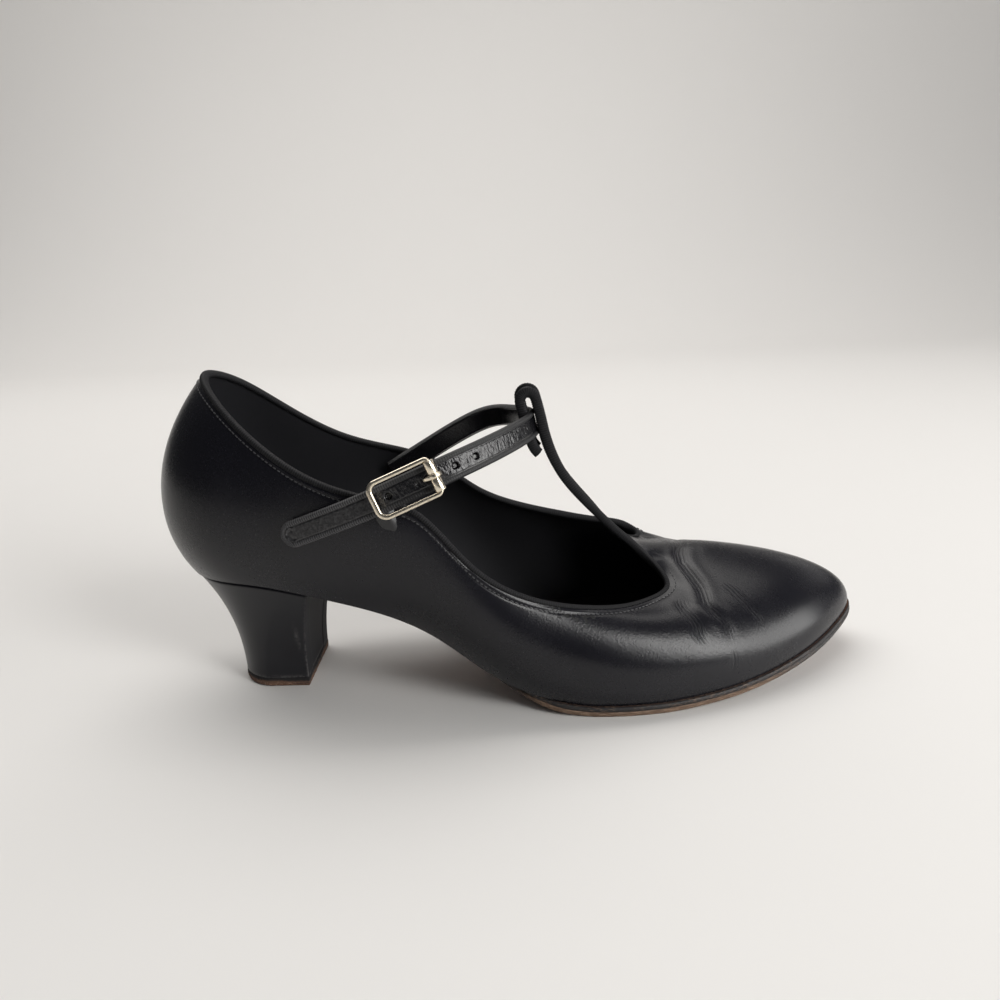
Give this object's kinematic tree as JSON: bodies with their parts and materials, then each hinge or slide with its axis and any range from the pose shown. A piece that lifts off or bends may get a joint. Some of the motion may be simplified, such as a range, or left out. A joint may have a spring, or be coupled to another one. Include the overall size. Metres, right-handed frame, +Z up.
{
  "type": "latin dance shoe",
  "caption": "Closed-toe T-strap latin dance shoe for the right foot: hollow leather upper, flared covered heel, thin leather sole and a buckled ankle strap.",
  "frame": {"origin": "middle of the shoe's length and width on the floor it stands on", "axes": "+X from heel to toe, +Y to the inner (medial) side of the right foot, +Z up"},
  "size_m": [0.23, 0.0806, 0.1054],
  "materials": {
    "upper_leather": "smooth black leather with a soft sheen and creases at the ball",
    "binding_ribbon": "ribbed black ribbon folded over the edge",
    "insole": "dark matt sock lining",
    "sole_leather": "raw reddish-brown suede sole with a scuffed edge",
    "heel_cover": "smooth black leather pulled over the block",
    "lift_leather": "fuzzy brown stacked leather edge",
    "strap_leather": "wrinkled glossy black leather",
    "buckle_metal": "pale gold plated wire, polished"
  },
  "bodies": {
    "root": {"upper": "upper_leather", "topline_binding": "binding_ribbon", "insole": "insole", "outsole": "sole_leather", "heel": "heel_cover", "heel_lift": "lift_leather", "ankle_strap": "strap_leather", "buckle_chape": "strap_leather", "buckle_frame": "buckle_metal", "buckle_roller": "buckle_metal", "buckle_prong": "buckle_metal"}
  },
  "joints": []
}
